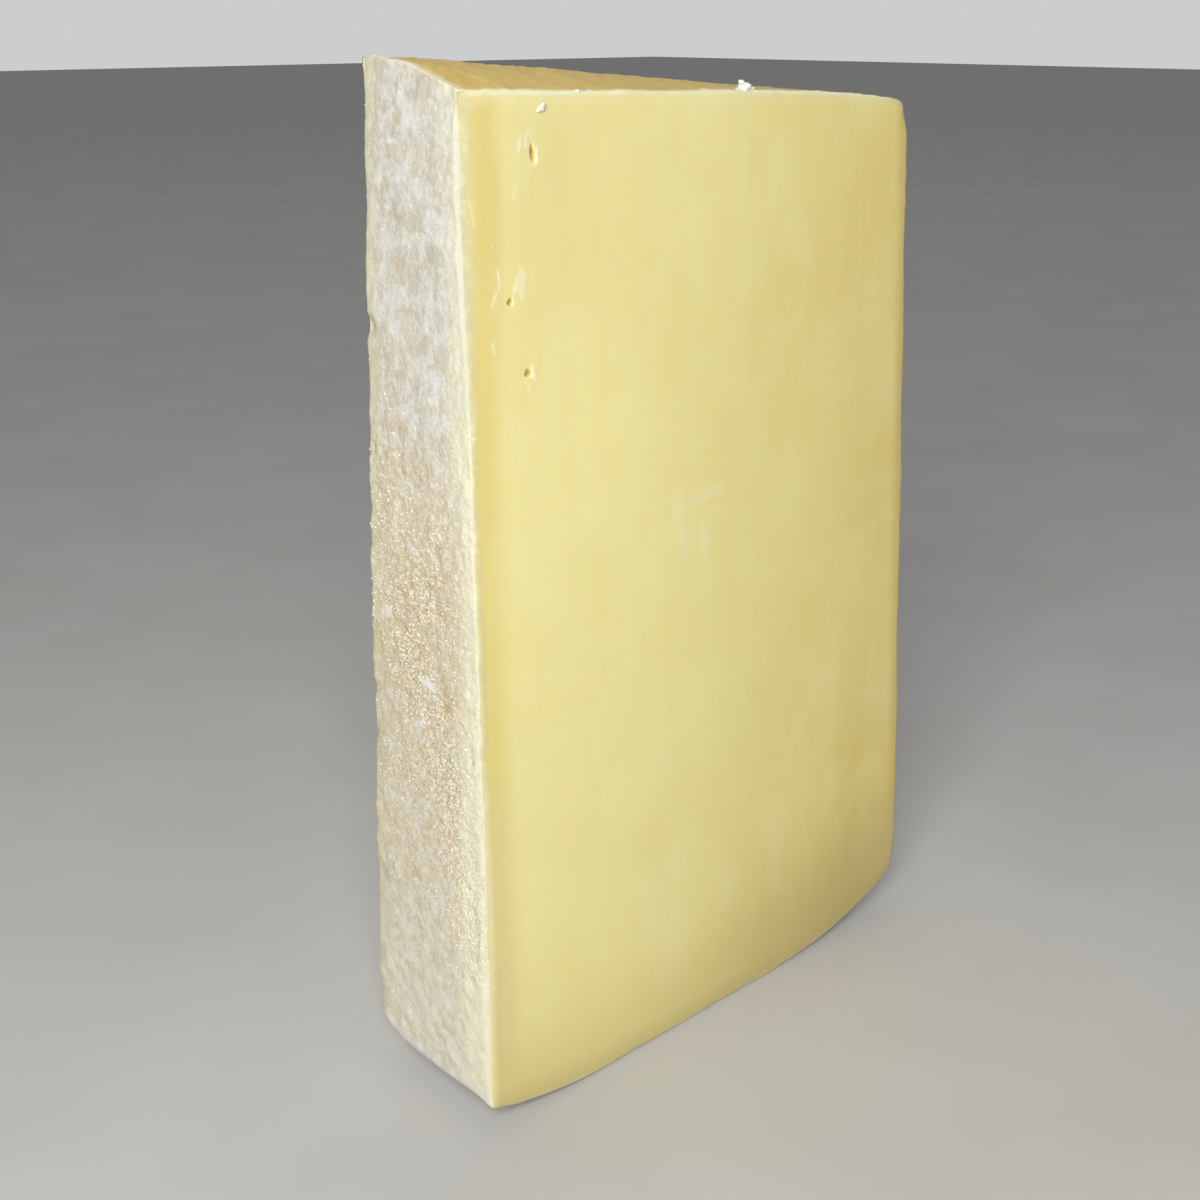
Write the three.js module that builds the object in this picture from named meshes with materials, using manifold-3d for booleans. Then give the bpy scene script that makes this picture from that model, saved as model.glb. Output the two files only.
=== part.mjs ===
// A wedge of alpine cheese, cut from a large pressed wheel and stood on its heel.
//
// The wedge stands on its heel, which is a piece of the wheel's convex outer rim. The wheel's
// two flat rinds are the narrow sides at -X and +X, the two large faces at -Y and +Y are cuts,
// and the top is the cut that took the point of the wedge off.
// Millimetres, +Z up, with the origin in the middle of the flat spot's plane under the block.

import * as THREE from "three";
import { mergeVertices } from "three/addons/utils/BufferGeometryUtils.js";
import Module from "manifold-3d";

// ---- driving dimensions ----

// From rind to rind along X, which is how thick the wheel was. The rinds lean in upwards.
const HEEL_WIDTH = 99.2;
const LEFT_RIND_LEAN = 0.017;
const RIGHT_RIND_LEAN = 0.038;

// From cut to cut along Y. Both cuts run towards the middle of the wheel, so the block thins.
const HEEL_THICKNESS = 29.2;
const FRONT_CUT_LEAN = 0.032;
const BACK_CUT_LEAN = 0.028;

// Heights of the top cut's four corners. The knife dipped towards the front and the right.
const TOP_FRONT_LEFT = 150;
const TOP_FRONT_RIGHT = 147.8;
const TOP_BACK_LEFT = 154;
const TOP_BACK_RIGHT = 147.1;
const TOP_CROWN_POWER = 1.8;
const TOP_RIGHT_DROOP = 1.5;
const TOP_DROOP_POWER = 6;

// The heel rests on a flat spot, and curves up from it to each rind.
const HEEL_FLAT_LEFT = -24;
const HEEL_FLAT_RIGHT = 10;
const HEEL_LIFT_LEFT = 3.4;
const HEEL_LIFT_BACK_LEFT = 7;
const HEEL_LIFT_RIGHT = 7.6;
const HEEL_POWER_LEFT = 1.7;
const HEEL_POWER_RIGHT = 2.2;
const HEEL_POWER_BACK = 7;

const EDGE_ROUNDING = 0.7;

// How far the surfaces wander from their true planes.
const RIND_SWELL = 0.22;
const CUT_RIPPLE = 0.12;
const TOP_KNIFE_RIDGE = 0.3;
const RIND_CHIP_DEPTH = 0.35;

// How many steps the surface is worked out in, along X, Y and Z.
const STEPS_X = 26;
const STEPS_Y = 10;
const STEPS_Z = 36;

const PASTE_COLOUR = 0xe6d896;

// ---- where the planes of the block lie ----

const leftRind = (z) => -HEEL_WIDTH / 2 + LEFT_RIND_LEAN * z;
const rightRind = (z) => HEEL_WIDTH / 2 - RIGHT_RIND_LEAN * z;
const frontCut = (z) => -HEEL_THICKNESS / 2 + FRONT_CUT_LEAN * z;
const backCut = (z) => HEEL_THICKNESS / 2 - BACK_CUT_LEAN * z;
const mix = THREE.MathUtils.lerp;

// How far the heel is lifted at x: nothing on the flat spot, rising to either rind, and more
// at the back of the left one, where the block's corner is worn round.
function heelHeight(x, through) {
  const left = Math.max(0, HEEL_FLAT_LEFT - x) / (HEEL_WIDTH / 2 + HEEL_FLAT_LEFT);
  const right = Math.max(0, x - HEEL_FLAT_RIGHT) / (HEEL_WIDTH / 2 - HEEL_FLAT_RIGHT);
  const leftLift = mix(HEEL_LIFT_LEFT, HEEL_LIFT_BACK_LEFT, through ** HEEL_POWER_BACK);
  return leftLift * left ** HEEL_POWER_LEFT + HEEL_LIFT_RIGHT * right ** HEEL_POWER_RIGHT;
}

// Height of the top cut, across the width (0 left, 1 right) and the thickness (0 front, 1 back).
function topHeight(across, through) {
  const front = mix(TOP_FRONT_LEFT, TOP_FRONT_RIGHT, across);
  const back = mix(TOP_BACK_LEFT, TOP_BACK_RIGHT, across);
  const droop = TOP_RIGHT_DROOP * across ** TOP_DROOP_POWER;
  return mix(front, back, 1 - (1 - through) ** TOP_CROWN_POWER) - droop;
}

// ---- relief ----

// A smooth wandering value between about -1 and 1, from three crossing waves.
function wander(a, b, length) {
  const k = (2 * Math.PI) / length;
  const slow = Math.sin(k * a + 1.7 * Math.sin(0.61 * k * b + 0.4));
  const cross = Math.sin(0.83 * k * b + 1.3 * Math.sin(0.47 * k * a + 2.1));
  const fine = Math.sin(1.9 * k * a - 1.4 * k * b + 0.9);
  return 0.45 * slow + 0.35 * cross + 0.2 * fine;
}

// A dent of unit depth at the place (a0, b0), fading to nothing at its radius.
function dent(a, b, a0, b0, radius) {
  const far = Math.hypot(a - a0, b - b0) / radius;
  return far < 1 ? (1 - far * far) ** 2 : 0;
}

// Chips knocked out of the edges between rind and cut: side of the block, then y, z and size.
const RIND_CHIPS = [
  { side: -1, y: 11.0, z: 114, radius: 5 },
  { side: -1, y: 11.6, z: 61, radius: 4 },
  { side: -1, y: -10.4, z: 108, radius: 5 },
  { side: 1, y: -12.0, z: 56, radius: 5 },
  { side: 1, y: 10.2, z: 122, radius: 6 },
];

function chips(side, y, z) {
  return RIND_CHIPS.filter((chip) => chip.side === side).reduce(
    (sum, chip) => sum + dent(y, z, chip.y, chip.z, chip.radius),
    0,
  );
}

// ---- the block ----

// Grid line i of n along a side: two close lines shape each rounded edge, the rest are even.
function gridLine(i, n, length) {
  const fromStart = Math.min(i, n - i);
  const edge = [0, 0.3 * EDGE_ROUNDING, EDGE_ROUNDING];
  const even = EDGE_ROUNDING + ((i - 2) / (n - 4)) * (length - 2 * EDGE_ROUNDING);
  if (fromStart > 2) return even;
  return i < n / 2 ? edge[fromStart] : length - edge[fromStart];
}

// Takes a point on the square block's surface onto the same block with rounded edges.
function roundEdges(point, size) {
  const rounding = new THREE.Vector3().setScalar(EDGE_ROUNDING);
  const core = point.clone().clamp(rounding, size.clone().sub(rounding));
  const out = point.clone().sub(core).setLength(EDGE_ROUNDING);
  return { place: core.add(out), out: out.normalize() };
}

function cheeseBlock() {
  const size = new THREE.Vector3(HEEL_WIDTH, HEEL_THICKNESS, TOP_FRONT_LEFT);
  const box = new THREE.BoxGeometry(1, 1, 1, STEPS_X, STEPS_Y, STEPS_Z);
  const position = box.getAttribute("position");
  for (let i = 0; i < position.count; i++) {
    const line = (u, n, length) => gridLine(Math.round((u + 0.5) * n), n, length);
    const square = new THREE.Vector3(
      line(position.getX(i), STEPS_X, size.x),
      line(position.getY(i), STEPS_Y, size.y),
      line(position.getZ(i), STEPS_Z, size.z),
    );
    const { place, out } = roundEdges(square, size);
    const across = place.x / size.x;
    const through = place.y / size.y;
    const heel = heelHeight(mix(leftRind(0), rightRind(0), across), through);
    const z = mix(heel, topHeight(across, through), place.z / size.z);
    const x = mix(leftRind(z), rightRind(z), across);
    const y = mix(frontCut(z), backCut(z), through);

    // The relief dies away at the heel, so that the flat spot stays flat.
    const clear = THREE.MathUtils.smoothstep(z, 2, 12);
    const side = out.x < 0 ? -1 : 1;
    const rind = RIND_SWELL * wander(y, z, 31) - RIND_CHIP_DEPTH * chips(side, y, z);
    const cut = CUT_RIPPLE * wander(x, 0.25 * z, 17);
    const ridge = TOP_KNIFE_RIDGE * wander(x, 2 * y, 21);
    position.setXYZ(
      i,
      x + clear * out.x * rind,
      y + clear * out.y * cut,
      z + Math.max(0, out.z) * ridge,
    );
  }
  return box;
}

// ---- the eyes: small gas holes that the knife opened ----

// Each eye is a stretched ball sunk in a cut face: its middle, its three radii and its tilt.
const EYES = [
  { face: frontCut, x: -35.3, z: 142.2, radii: [0.55, 1.3, 1.25], tilt: 0.12 },
  { face: frontCut, x: -40.0, z: 123.7, radii: [0.5, 1.1, 0.55], tilt: -0.5 },
  { face: frontCut, x: -37.4, z: 114.0, radii: [0.6, 0.45, 0.6], tilt: 0 },
  { face: backCut, x: 18.5, z: 96.0, radii: [0.9, 1.4, 1.5], tilt: 0.3 },
  { face: backCut, x: -12.0, z: 61.5, radii: [0.6, 1.1, 0.7], tilt: -0.2 },
  { face: backCut, x: 27.5, z: 43.0, radii: [0.5, 0.9, 0.6], tilt: 0.6 },
];
const EYE_SEGMENTS = 10;

function eyeGeometry({ face, x, z, radii, tilt }) {
  const ball = new THREE.SphereGeometry(1, EYE_SEGMENTS, EYE_SEGMENTS - 2);
  ball.scale(...radii);
  ball.rotateY(tilt);
  return ball.translate(x, face(z), z);
}

// ---- from geometry to solid and back ----

const wasm = await Module();
wasm.setup();

function toSolid(geometry) {
  const bare = geometry.clone();
  bare.deleteAttribute("normal");
  bare.deleteAttribute("uv");
  const merged = mergeVertices(bare, 1e-4);
  return new wasm.Manifold(
    new wasm.Mesh({
      numProp: 3,
      vertProperties: merged.getAttribute("position").array,
      triVerts: new Uint32Array(merged.index.array),
    }),
  );
}

function toGeometry(solid) {
  const { vertProperties, triVerts } = solid.getMesh();
  const geometry = new THREE.BufferGeometry();
  geometry.setAttribute("position", new THREE.BufferAttribute(vertProperties, 3));
  geometry.setIndex(new THREE.BufferAttribute(triVerts, 1));
  geometry.computeVertexNormals();
  return geometry;
}

// ---- the wedge ----

const pierced = EYES.reduce(
  (solid, eye) => solid.subtract(toSolid(eyeGeometry(eye))),
  toSolid(cheeseBlock()),
);

const paste = new THREE.MeshStandardMaterial({
  color: PASTE_COLOUR,
  roughness: 0.45,
  metalness: 0,
});
const wedge = new THREE.Mesh(toGeometry(pierced), paste);
wedge.name = "cheese_wedge";

const cheese = new THREE.Group();
cheese.add(wedge);

export default cheese;
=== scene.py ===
import math

import bmesh
import bpy
import numpy as np
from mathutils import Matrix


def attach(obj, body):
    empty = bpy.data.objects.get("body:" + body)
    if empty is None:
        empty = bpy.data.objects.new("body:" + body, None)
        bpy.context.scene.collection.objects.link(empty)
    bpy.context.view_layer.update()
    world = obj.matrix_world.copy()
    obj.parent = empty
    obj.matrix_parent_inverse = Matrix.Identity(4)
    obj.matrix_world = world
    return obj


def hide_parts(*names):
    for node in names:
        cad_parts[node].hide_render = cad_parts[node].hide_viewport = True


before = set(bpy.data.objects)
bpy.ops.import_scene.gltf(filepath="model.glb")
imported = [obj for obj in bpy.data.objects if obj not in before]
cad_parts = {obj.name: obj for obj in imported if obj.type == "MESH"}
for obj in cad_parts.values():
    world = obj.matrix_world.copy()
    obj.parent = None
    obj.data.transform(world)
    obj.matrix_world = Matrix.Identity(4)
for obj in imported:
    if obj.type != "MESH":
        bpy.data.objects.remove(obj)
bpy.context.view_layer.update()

# ---- The block of cheese ----
# One piece of pressed, long-ripened curd, sawn out of a wheel. Both narrow sides and the heel underneath
# keep the wheel's rind, and the large faces and the top are cuts. A box with rounded edges is leaned and
# bowed into the block's shape, and each of its faces then gets its own relief.

MM = 0.001
heel_width = 99.2
heel_thickness = 29.2
block_height = 150.0
left_rind_lean = 0.017
right_rind_lean = 0.038
front_cut_lean = 0.032
back_cut_lean = 0.028
top_front = (150.0, 147.8)
top_back = (154.0, 147.1)
top_crown_power = 1.8
top_right_droop = 1.5
top_droop_power = 6
heel_flat = (-24.0, 10.0)
heel_lift_left = (3.4, 7.0)
heel_lift_right = 7.6
heel_powers = (1.7, 2.2)
heel_back_power = 7
edge_rounding = 0.7
block_size = np.array((heel_width, heel_thickness, block_height))


def left_rind(z):
    return -heel_width / 2 + left_rind_lean * z


def right_rind(z):
    return heel_width / 2 - right_rind_lean * z


def front_cut(z):
    return -heel_thickness / 2 + front_cut_lean * z


def back_cut(z):
    return heel_thickness / 2 - back_cut_lean * z


def blend(a, b, share):
    return a + (b - a) * share


def ease(value, start, end):
    """0 at start and 1 at end, whichever is larger, and an eased slope between."""
    share = np.clip((value - start) / (end - start), 0, 1)
    return share * share * (3 - 2 * share)


def heel_height(x, through):
    """How far the heel is lifted: not at all on its flat spot, and more towards either rind."""
    left = np.maximum(0, heel_flat[0] - x) / (heel_width / 2 + heel_flat[0])
    right = np.maximum(0, x - heel_flat[1]) / (heel_width / 2 - heel_flat[1])
    left_lift = blend(*heel_lift_left, through**heel_back_power)
    return left_lift * left ** heel_powers[0] + heel_lift_right * right ** heel_powers[1]


def top_height(across, through):
    front = blend(*top_front, across)
    back = blend(*top_back, across)
    droop = top_right_droop * across**top_droop_power
    return blend(front, back, 1 - (1 - through) ** top_crown_power) - droop


def lean_and_bow(place):
    """Takes places in the square block to where they are in the real one."""
    across, through, up = np.clip(place / block_size, 0, 1).T
    heel = heel_height(blend(left_rind(0), right_rind(0), across), through)
    z = blend(heel, top_height(across, through), up)
    x = blend(left_rind(z), right_rind(z), across)
    y = blend(front_cut(z), back_cut(z), through)
    return np.stack([x, y, z], -1)


# Random numbers on a lattice, which every wandering value is read from. Each stream is a pattern of its own.
draw_count = 4096
draw_seed = 7
draws = np.random.default_rng(draw_seed).random(draw_count)
lattice_strides = (73856093, 19349663, 83492791)
stream_stride = 2654435761


def lattice_draw(cell, stream):
    mixed = (cell * lattice_strides).astype(np.int64)
    code = mixed[..., 0] ^ mixed[..., 1] ^ mixed[..., 2] ^ (stream * stream_stride)
    return draws[code & (draw_count - 1)]


def wander(point, length, stream):
    """A smooth value between -1 and 1 that changes over about this length, in millimetres."""
    place = point / np.asarray(length, float)
    cell = np.floor(place).astype(np.int64)
    part = place - cell
    part = part * part * (3 - 2 * part)
    total = 0
    for corner in np.ndindex(2, 2, 2):
        weight = np.prod(np.where(corner, part, 1 - part), axis=-1)
        total = total + weight * lattice_draw(cell + corner, stream)
    return 2 * total - 1


def granules(point, length, stream):
    """Rounded grains packed side by side: 1 on top of a grain, falling to 0 in the gaps."""
    place = point / np.asarray(length, float)
    cell = np.floor(place).astype(np.int64)
    nearest = np.ones(len(point))
    for step in np.ndindex(3, 3, 3):
        near = cell + step - 1
        heart = near + np.stack([lattice_draw(near, stream + i) for i in range(3)], -1)
        nearest = np.minimum(nearest, ((heart - place) ** 2).sum(-1))
    return 1 - nearest


def far_from_line(x, z, start, end):
    """Distance from points to the short line between start and end."""
    run = np.subtract(end, start)
    squared_length = max(run @ run, 1e-9)
    along = (x - start[0]) * run[0] + (z - start[1]) * run[1]
    share = np.clip(along / squared_length, 0, 1)
    return np.hypot(x - start[0] - share * run[0], z - start[1] - share * run[1])


# Small gas holes that the cuts opened: face, place across and up, half width, depth, half height, tilt.
eyes = (
    ("front", -35.3, 142.2, 0.50, 0.9, 1.25, 0.15),
    ("front", -40.0, 123.7, 0.50, 0.8, 0.55, -0.5),
    ("front", -37.4, 114.0, 0.60, 0.35, 0.60, 0.0),
    ("back", 18.5, 96.0, 0.90, 1.4, 1.50, 0.3),
    ("back", -12.0, 61.5, 0.60, 1.1, 0.70, -0.2),
    ("back", 27.5, 43.0, 0.50, 0.9, 0.60, 0.6),
)

# Pale scrapes on the large faces: face, from, to, half width and strength.
scrapes = (
    ("front", (-37.9, 142.5), (-37.4, 144.2), 0.28, 0.8),
    ("front", (-36.5, 143.2), (-35.9, 144.8), 0.22, 0.7),
    ("front", (-34.5, 142.9), (-34.4, 140.7), 0.16, 1.0),
    ("front", (-39.0, 137.0), (-38.4, 138.2), 0.22, 0.5),
    ("front", (-39.3, 124.6), (-38.3, 127.6), 0.30, 0.8),
    ("front", (-38.2, 124.3), (-37.5, 126.9), 0.50, 0.6),
    ("front", (-42.1, 127.6), (-41.6, 125.9), 0.14, 0.9),
    ("front", (-41.6, 125.9), (-42.7, 124.4), 0.20, 0.8),
    ("front", (-36.7, 114.9), (-36.5, 113.2), 0.28, 0.7),
    ("front", (-37.9, 112.7), (-37.4, 111.6), 0.30, 0.5),
    ("front", (-43.4, 118.4), (-43.2, 117.6), 0.22, 0.7),
    ("front", (-45.9, 136.4), (-45.2, 133.6), 0.20, 0.35),
    ("front", (-8.9, 91.2), (-8.2, 88.4), 1.30, 0.30),
    ("front", (-4.0, 90.0), (0.2, 91.1), 0.80, 0.35),
    ("front", (-8.4, 86.5), (-8.0, 82.6), 1.00, 0.25),
    ("front", (-3.6, 85.5), (-2.9, 82.0), 0.90, 0.25),
    ("back", (14.0, 101.0), (16.5, 97.5), 0.35, 0.8),
    ("back", (-14.5, 66.0), (-13.0, 63.0), 0.30, 0.7),
    ("back", (-30.0, 118.0), (-28.0, 112.0), 0.80, 0.35),
    ("back", (5.0, 30.0), (8.0, 34.0), 0.60, 0.35),
)

# Specks scraped up on the front, each the size of a scrape's end: place across and up.
speck_size = 0.16
speck_strength = 0.9
specks = (
    (-46.9, 106.5), (-44.1, 105.3), (-45.0, 88.2), (-36.5, 81.8), (-40.7, 78.7), (-16.7, 88.1),
    (-34.4, 59.8), (-45.3, 44.3), (-33.3, 63.2), (-41.1, 80.8), (-45.0, 49.1), (-42.5, 131.0),
)
scrapes = scrapes + tuple(("front", place, place, speck_size, speck_strength) for place in specks)

# Chips knocked out of the rinds' edges: side, place through the block, height, radius and depth.
left_side, right_side = -1, 1
rind_chips = (
    (left_side, 10.8, 118.6, 2.2, 0.75),
    (left_side, 11.0, 108.0, 9.0, 0.35),
    (left_side, 12.8, 64.5, 2.0, 0.40),
    (left_side, 12.9, 56.5, 2.6, 0.35),
    (left_side, 13.2, 33.0, 3.0, 0.40),
    (left_side, -10.4, 108.0, 4.0, 0.20),
    (right_side, -12.0, 56.0, 4.0, 0.45),
    (right_side, 10.2, 122.0, 5.0, 0.45),
    (right_side, 12.4, 30.0, 3.0, 0.40),
)

# Patches on the left rind: kind, place through the block, height, half sizes and strength.
rind_patches = (
    ("bloom", -2.0, 145.7, 2.2, 2.6, 0.15), ("bloom", 0.7, 141.9, 2.6, 2.4, 0.2),
    ("bloom", 4.5, 143.5, 1.6, 0.35, 0.8), ("bloom", -2.3, 120.5, 0.5, 1.0, 0.8),
    ("bloom", -4.3, 91.6, 0.45, 0.7, 1.0), ("bloom", 10.6, 81.8, 1.6, 1.5, 0.7),
    ("bloom", 8.8, 77.6, 1.4, 1.2, 0.6), ("bloom", -0.8, 68.9, 1.9, 1.3, 0.9),
    ("bloom", 1.8, 62.2, 1.6, 0.9, 0.8), ("golden", -8.8, 67.2, 1.8, 1.6, 0.9),
    ("golden", -4.9, 66.3, 0.9, 0.8, 0.6), ("golden", 5.7, 81.5, 1.2, 0.9, 0.6),
    ("golden", 11.5, 74.6, 1.2, 1.6, 0.6), ("golden", -11.4, 32.7, 0.8, 1.8, 0.9),
    ("golden", -7.2, 32.5, 0.8, 1.2, 0.4),
)

# How long the mesh's edges may be on each part of the surface.
left_rind_step = 0.45
right_rind_step = 0.95
top_step = 0.8
heel_step = 1.8
end_steps = (heel_step, top_step, right_rind_step, left_rind_step)
cut_step = 2.4
rim_step = 0.6
rim_reach = 2.4
eye_step = 0.16
eye_reach = 2.0
scrape_step = 0.3
scrape_reach = 1.2
refining_passes = 11
rounding_lines = (0.25, 0.6, 1)


def longest_edge(middle):
    """The longest that an edge with this middle, in the square block, may be."""
    across, through, up = middle.T
    real_x, _, real_z = lean_and_bow(middle).T
    ends = (across < edge_rounding, across > heel_width - edge_rounding,
            up > block_height - edge_rounding, up < edge_rounding)
    on_left, on_right, on_top, on_heel = ends
    on_cut = ~np.logical_or.reduce(ends)
    near_rim = np.minimum.reduce([across, heel_width - across, up, block_height - up]) < rim_reach
    limit = np.where(on_cut & near_rim, rim_step, cut_step)
    on_front = through < heel_thickness / 2
    for face, at_x, at_z, *_ in eyes:
        close = np.hypot(real_x - at_x, real_z - at_z) < eye_reach
        limit = np.where(on_cut & close & (on_front == (face == "front")), eye_step, limit)
    for face, start, end, half_width, _ in scrapes:
        close = far_from_line(real_x, real_z, start, end) < scrape_reach + half_width
        step = np.minimum(limit, max(scrape_step, half_width / 2))
        limit = np.where(on_cut & close & (on_front == (face == "front")), step, limit)
    for side, step in zip((on_heel, on_top, on_right, on_left), end_steps):
        limit = np.where(side, step, limit)
    return limit


def fine_box():
    """The square block, with lines along its rounded edges, split until its edges are short enough."""
    box = bmesh.new()
    bmesh.ops.create_cube(box, size=1)
    for corner in box.verts:
        corner.co = [(share + 0.5) * length for share, length in zip(corner.co, block_size)]
    for axis, length in enumerate(block_size):
        for share in rounding_lines:
            for place in (share * edge_rounding, length - share * edge_rounding):
                everything = [*box.verts, *box.edges, *box.faces]
                normal = [float(axis == i) for i in range(3)]
                plane = [place * n for n in normal]
                bmesh.ops.bisect_plane(box, geom=everything, plane_co=plane, plane_no=normal)
    for _ in range(refining_passes):
        ends = np.array([[corner.co[:] for corner in edge.verts] for edge in box.edges])
        lengths = np.linalg.norm(ends[:, 0] - ends[:, 1], axis=1)
        long = lengths > longest_edge(ends.mean(axis=1))
        if not long.any():
            break
        cut = [edge for edge, is_long in zip(box.edges, long) if is_long]
        bmesh.ops.subdivide_edges(box, edges=cut, cuts=1, use_grid_fill=True)
    return box


def round_edges(square, rounding):
    """Rounds the square block's edges, and gives the way that each point faces."""
    rounding = rounding[:, None]
    core = np.clip(square, rounding, block_size - rounding)
    out = square - core
    out /= np.linalg.norm(out, axis=1, keepdims=True)
    return core + rounding * out, out


def add_measure(piece, name, values):
    """Keeps a number for each corner of the mesh, for its material to read."""
    piece.data.attributes.new(name, "FLOAT", "POINT").data.foreach_set("value", values.astype(np.float32))


def read(items, name, width=1, kind=float):
    """All the values of one kind that a mesh holds, as an array."""
    values = np.zeros(len(items) * width, kind)
    items.foreach_get(name, values)
    return values.reshape(-1, width) if width > 1 else values


def new_object(name, data):
    piece = bpy.data.objects.new(name, data)
    bpy.context.scene.collection.objects.link(piece)
    return piece


box = fine_box()
box_mesh = bpy.data.meshes.new("cheese_block")
box.to_mesh(box_mesh)
box.free()
box_mesh.shade_smooth()
block = new_object("cheese_block", box_mesh)
flat_sides = read(box_mesh.polygons, "normal", 3)
square = read(box_mesh.vertices, "co", 3)

# The edges are worn unevenly: the near edge of the left rind at its foot and towards its top, the rinds'
# lower edges, and the far corner of the top. The top's own edges are fresh and sharp. A zone says how far
# from its edge the wear begins, and where it is full.
edge_wear = 0.25
edge_wear_length = 6.0
least_rounding = 0.1
near_edge_zone = (4, 1)
near_edge_wear = 0.2
foot_wear = 0.6
foot_zone = (70, 40)
upper_wear = 1.0
upper_zone = (106, 132)
below_top_zone = (0.5, 5)
worn_heel = 1.3
heel_edge_zone = (5, 1)
heel_zone = (9, 2)
spared_by_near_edge = 0.4
worn_corner = 1.0
far_corner_zone = (6, 2)
fresh_edge = 0.42
fresh_zone = (3, 1)

to_left, to_front, to_heel = square.T
to_right = heel_width - to_left
to_top = block_height - to_heel
left_front = ease(to_left, *near_edge_zone) * ease(to_front, *near_edge_zone)
edge_roll = near_edge_wear + foot_wear * ease(to_heel, *foot_zone) + upper_wear * ease(to_heel, *upper_zone)
near_wear = left_front * edge_roll * ease(to_top, *below_top_zone)
rind_heel = np.maximum(ease(to_left, *heel_edge_zone), ease(to_right, *heel_edge_zone))
rind_heel = rind_heel * ease(to_heel, *heel_zone) * (1 - spared_by_near_edge * left_front)
top_corner = ease(to_right, *far_corner_zone) * ease(to_top, *far_corner_zone)
rounding = edge_rounding + edge_wear * wander(square, edge_wear_length, stream=1)
rounding = rounding - fresh_edge * ease(to_top, *fresh_zone)
rounding += np.maximum.reduce([near_wear, worn_heel * rind_heel, (worn_corner + fresh_edge) * top_corner])
rounding = np.maximum(rounding, least_rounding)
rounded, out = round_edges(square, rounding)
smooth = lean_and_bow(rounded)
across, through, _ = np.clip(rounded / block_size, 0, 1).T
x, y, z = smooth.T
side_of_block = np.where(across < 0.5, left_side, right_side)
from_front = y - front_cut(z)
from_back = back_cut(z) - y
from_left = x - left_rind(z)
from_right = right_rind(z) - x
from_heel = z - heel_height(x, through)
from_top = top_height(across, through) - z

# The crust is roughest along a slanting band down each rind, where the wheel was rubbed, and thin beside
# it. The band's middle and half width are shares of the block's thickness, at its upper end and lower end.
band_length = 52
band_upper_end = 84
left_band = (0.62, 0.12)
right_band = (0.35, 0.70)
band_halves = (0.50, 0.34)
band_foot = (16, 34)
band_fade = (98, 78)
band_raggedness = 0.6
thin_cover = 0.40
thin_foot = (20, 62)
thin_fade = (122, 92)
thin_raggedness = 0.7

band_fall = ease(band_upper_end - z, 0, band_length)
on_left_rind = side_of_block == left_side
band_middle = np.where(on_left_rind, blend(*left_band, band_fall), blend(*right_band, band_fall))
crust = ease(1 - abs(through - band_middle) / blend(*band_halves, band_fall), 0, 1)
crust = crust * ease(z, *band_foot) * ease(z, *band_fade)
crust = crust * (1 + band_raggedness * wander(smooth, 5.0, stream=3))
thin_crust = thin_cover * ease(z, *thin_foot) * ease(z, *thin_fade)
thin_crust = thin_crust * (1 + thin_raggedness * wander(smooth, 9.0, stream=4))
crust = np.clip(np.maximum(crust, thin_crust), 0, 1)

patch_edge = (1.2, 0.3)
patch_raggedness = 0.35
faces_left = out[:, 0] < -0.5


def patches_of(kind):
    """How strongly the patches of one kind cover each point of the left rind."""
    cover = np.zeros(len(square))
    ragged = patch_raggedness * wander(smooth, 0.9, stream=43)
    for name, at_y, at_z, half_y, half_z, strength in rind_patches:
        if name == kind:
            far = np.hypot((y - at_y) / half_y, (z - at_z) / half_z) + ragged
            cover = np.maximum(cover, strength * ease(far, *patch_edge) * faces_left)
    return cover


# The rind's relief, in millimetres: broad swell, lumps, the fibres and weave of the cloth that the wheel
# was wrapped in, granules, and the pits and chips that were knocked out of it.
rind_swell = 0.20
rind_lumps = 0.08
low_lumps = 0.13
broad_lump_share = 0.6
rind_fibres = 0.065
fibre_slant = 0.35
fibres_lost_below = 0.7
rind_grain = 0.04
crust_grain = 0.42
big_grain_share = 0.6
small_grain_share = 0.4
grain_level = 0.6
bare_grain = 0.12
cloth_grain = 0.18
full_grain = 0.7
crust_pits = 0.30
pit_edge = (0.35, 0.75)
golden_pits = 0.6
rim_lumps = 0.20
rim_level = 0.3
front_rim_zone = (3.2, 0.8)
back_rim_zone = (2.0, 0.5)
bloom_height = 0.10
bloom_level = 0.5
low_rind_zone = (62, 34)
cloth_foot = (24, 44)
cloth_fade = (112, 88)

bloom_patch = patches_of("bloom")
golden_patch = patches_of("golden")
swell = rind_swell * wander(smooth, 15.0, stream=11)
low_rind = ease(z, *low_rind_zone)
lumps = rind_lumps * wander(smooth, (3.0, 2.4, 4.5), stream=12)
low_wander = wander(smooth, 1.7, stream=19) + broad_lump_share * wander(smooth, 3.4, stream=20)
lumps = lumps + low_rind * low_lumps * low_wander
slanted = np.stack([x, y + fibre_slant * z, z], -1)
fibres = rind_fibres * wander(slanted, (1.0, 0.9, 3.4), stream=13) * (1 - fibres_lost_below * low_rind)
grain = rind_grain * wander(smooth, 0.8, stream=14)
big_grains = granules(smooth, 1.25, stream=15) - grain_level
small_grains = granules(smooth, 0.75, stream=25) - grain_level
cloth_zone = ease(z, *cloth_foot) * ease(z, *cloth_fade)
crust_bumps = crust_grain * (big_grain_share * big_grains + small_grain_share * small_grains)
crust_bumps = crust_bumps * (bare_grain + cloth_grain * cloth_zone + full_grain * crust)
pits = crust * ease(wander(smooth, 1.5, stream=18), *pit_edge)
pits = np.maximum(pits, golden_pits * golden_patch)
rim = ease(from_front, *front_rim_zone) + ease(from_back, *back_rim_zone)
rims = rim_lumps * rim * (rim_level + wander(smooth, (2.0, 2.0, 2.6), stream=26))
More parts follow.
